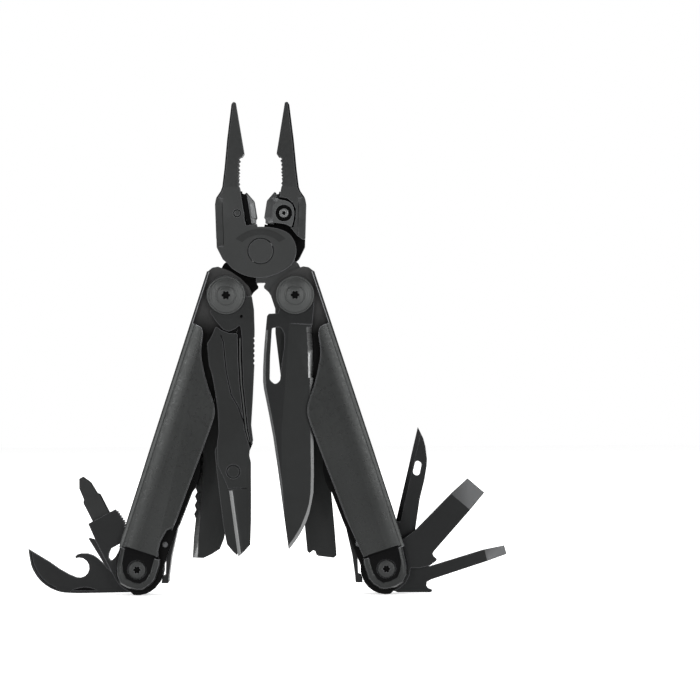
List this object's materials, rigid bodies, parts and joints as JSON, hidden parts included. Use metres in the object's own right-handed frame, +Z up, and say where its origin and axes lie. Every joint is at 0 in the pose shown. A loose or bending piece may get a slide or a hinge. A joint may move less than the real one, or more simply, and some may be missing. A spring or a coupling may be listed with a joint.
{
  "type": "pliers multi tool",
  "caption": "Folding pliers multi tool in black steel, opened to a V, with knife, scissors, saw, serrated blade, can opener, bit driver, awl and drivers fanned out.",
  "frame": {"origin": "on the ground under the middle of the opened tool's bounding box", "axes": "+Z up along the plier jaws, +X to the right seen from the front, -Y out of the front face of the handles"},
  "size_m": [0.1612, 0.0224, 0.1655],
  "materials": {
    "black_oxide": "satin black oxide",
    "handle_black": "satin black",
    "blade_black": "black oxide",
    "bolt_grey": "dark phosphate steel"
  },
  "bodies": {
    "front_half": {"jaw_front": "black_oxide", "cutter_insert_front": "blade_black", "cutter_screw_front": "bolt_grey", "plier_rivet": "black_oxide"},
    "rear_half": {"jaw_rear": "black_oxide", "cutter_insert_rear": "blade_black", "cutter_screw_rear": "bolt_grey"},
    "left_handle": {"handle_left": "handle_black", "handle_bolt_left": "bolt_grey", "handle_nut_left": "bolt_grey", "tool_screw_left": "bolt_grey", "tool_nut_left": "bolt_grey", "lock_pin_left": "bolt_grey", "tool_spacer_left": "blade_black"},
    "left_lock": {"tool_lock_left": "blade_black"},
    "right_handle": {"handle_right": "handle_black", "handle_bolt_right": "bolt_grey", "handle_nut_right": "bolt_grey", "tool_screw_right": "bolt_grey", "tool_nut_right": "bolt_grey", "lock_pin_right": "bolt_grey", "tool_spacer_right": "blade_black"},
    "right_lock": {"tool_lock_right": "blade_black"},
    "knife": {"knife_blade": "blade_black"},
    "saw": {"saw_blade": "blade_black", "blade_exchanger": "black_oxide"},
    "scissors": {"scissor_base": "blade_black", "scissor_rivet": "bolt_grey", "scissor_spring": "bolt_grey"},
    "scissors_lever": {"scissor_lever": "blade_black"},
    "serrated": {"serrated_blade": "blade_black"},
    "opener": {"can_opener": "blade_black"},
    "bit_driver": {"bit_driver": "blade_black"},
    "bit": {"driver_bit": "bolt_grey"},
    "awl": {"awl": "blade_black"},
    "large_driver": {"large_driver": "blade_black"},
    "small_driver": {"small_driver": "blade_black"}
  },
  "joints": [
    {"name": "plier_pivot", "type": "hinge", "parent": "front_half", "child": "rear_half", "pos_m": [-0.00171, 0, 0.11527], "axis": [0, -1, 0], "range_deg": [-8, 3.5]},
    {"name": "left_handle_fold", "type": "hinge", "parent": "rear_half", "child": "left_handle", "pos_m": [-0.01326, 0, 0.10042], "axis": [0, 1, 0], "range_deg": [0, 150]},
    {"name": "right_handle_fold", "type": "hinge", "parent": "front_half", "child": "right_handle", "pos_m": [0.00984, 0, 0.10042], "axis": [0, -1, 0], "range_deg": [0, 135]},
    {"name": "knife_fold", "type": "hinge", "parent": "right_handle", "child": "knife", "pos_m": [0.00984, 0, 0.10042], "axis": [0, -1, 0], "range_deg": [-3, 19]},
    {"name": "saw_fold", "type": "hinge", "parent": "right_handle", "child": "saw", "pos_m": [0.00984, 0, 0.10042], "axis": [0, -1, 0], "range_deg": [-3, 12]},
    {"name": "scissors_fold", "type": "hinge", "parent": "left_handle", "child": "scissors", "pos_m": [-0.01326, 0, 0.10042], "axis": [0, 1, 0], "range_deg": [-3, 20]},
    {"name": "scissors_lever", "type": "hinge", "parent": "scissors", "child": "scissors_lever", "pos_m": [-0.01108, 0, 0.04135], "axis": [0, 1, 0], "range_deg": [-8, 0]},
    {"name": "serrated_fold", "type": "hinge", "parent": "left_handle", "child": "serrated", "pos_m": [-0.01326, 0, 0.10042], "axis": [0, 1, 0], "range_deg": [-3, 13]},
    {"name": "opener_fold", "type": "hinge", "parent": "left_handle", "child": "opener", "pos_m": [-0.04343, 0, 0.00865], "axis": [0, 1, 0], "range_deg": [-60, 103]},
    {"name": "bit_driver_fold", "type": "hinge", "parent": "left_handle", "child": "bit_driver", "pos_m": [-0.04343, 0, 0.00865], "axis": [0, 1, 0], "range_deg": [-100, 44]},
    {"name": "bit_slide", "type": "slide", "parent": "bit_driver", "child": "bit", "axis": [0.4509, 0, -0.8926], "range_m": [-0.0085, 0]},
    {"name": "awl_fold", "type": "hinge", "parent": "right_handle", "child": "awl", "pos_m": [0.04002, 0, 0.00865], "axis": [0, -1, 0], "range_deg": [-100, 31]},
    {"name": "large_driver_fold", "type": "hinge", "parent": "right_handle", "child": "large_driver", "pos_m": [0.04002, 0, 0.00865], "axis": [0, -1, 0], "range_deg": [-80, 65]},
    {"name": "small_driver_fold", "type": "hinge", "parent": "right_handle", "child": "small_driver", "pos_m": [0.04002, 0, 0.00865], "axis": [0, -1, 0], "range_deg": [-60, 99]},
    {"name": "left_tool_lock", "type": "hinge", "parent": "left_handle", "child": "left_lock", "pos_m": [-0.03417, 0, 0.01697], "axis": [0, -1, 0], "range_deg": [0, 3], "stiffness_Nm_per_rad": 0.05},
    {"name": "right_tool_lock", "type": "hinge", "parent": "right_handle", "child": "right_lock", "pos_m": [0.03075, 0, 0.01697], "axis": [0, 1, 0], "range_deg": [0, 3], "stiffness_Nm_per_rad": 0.05}
  ]
}
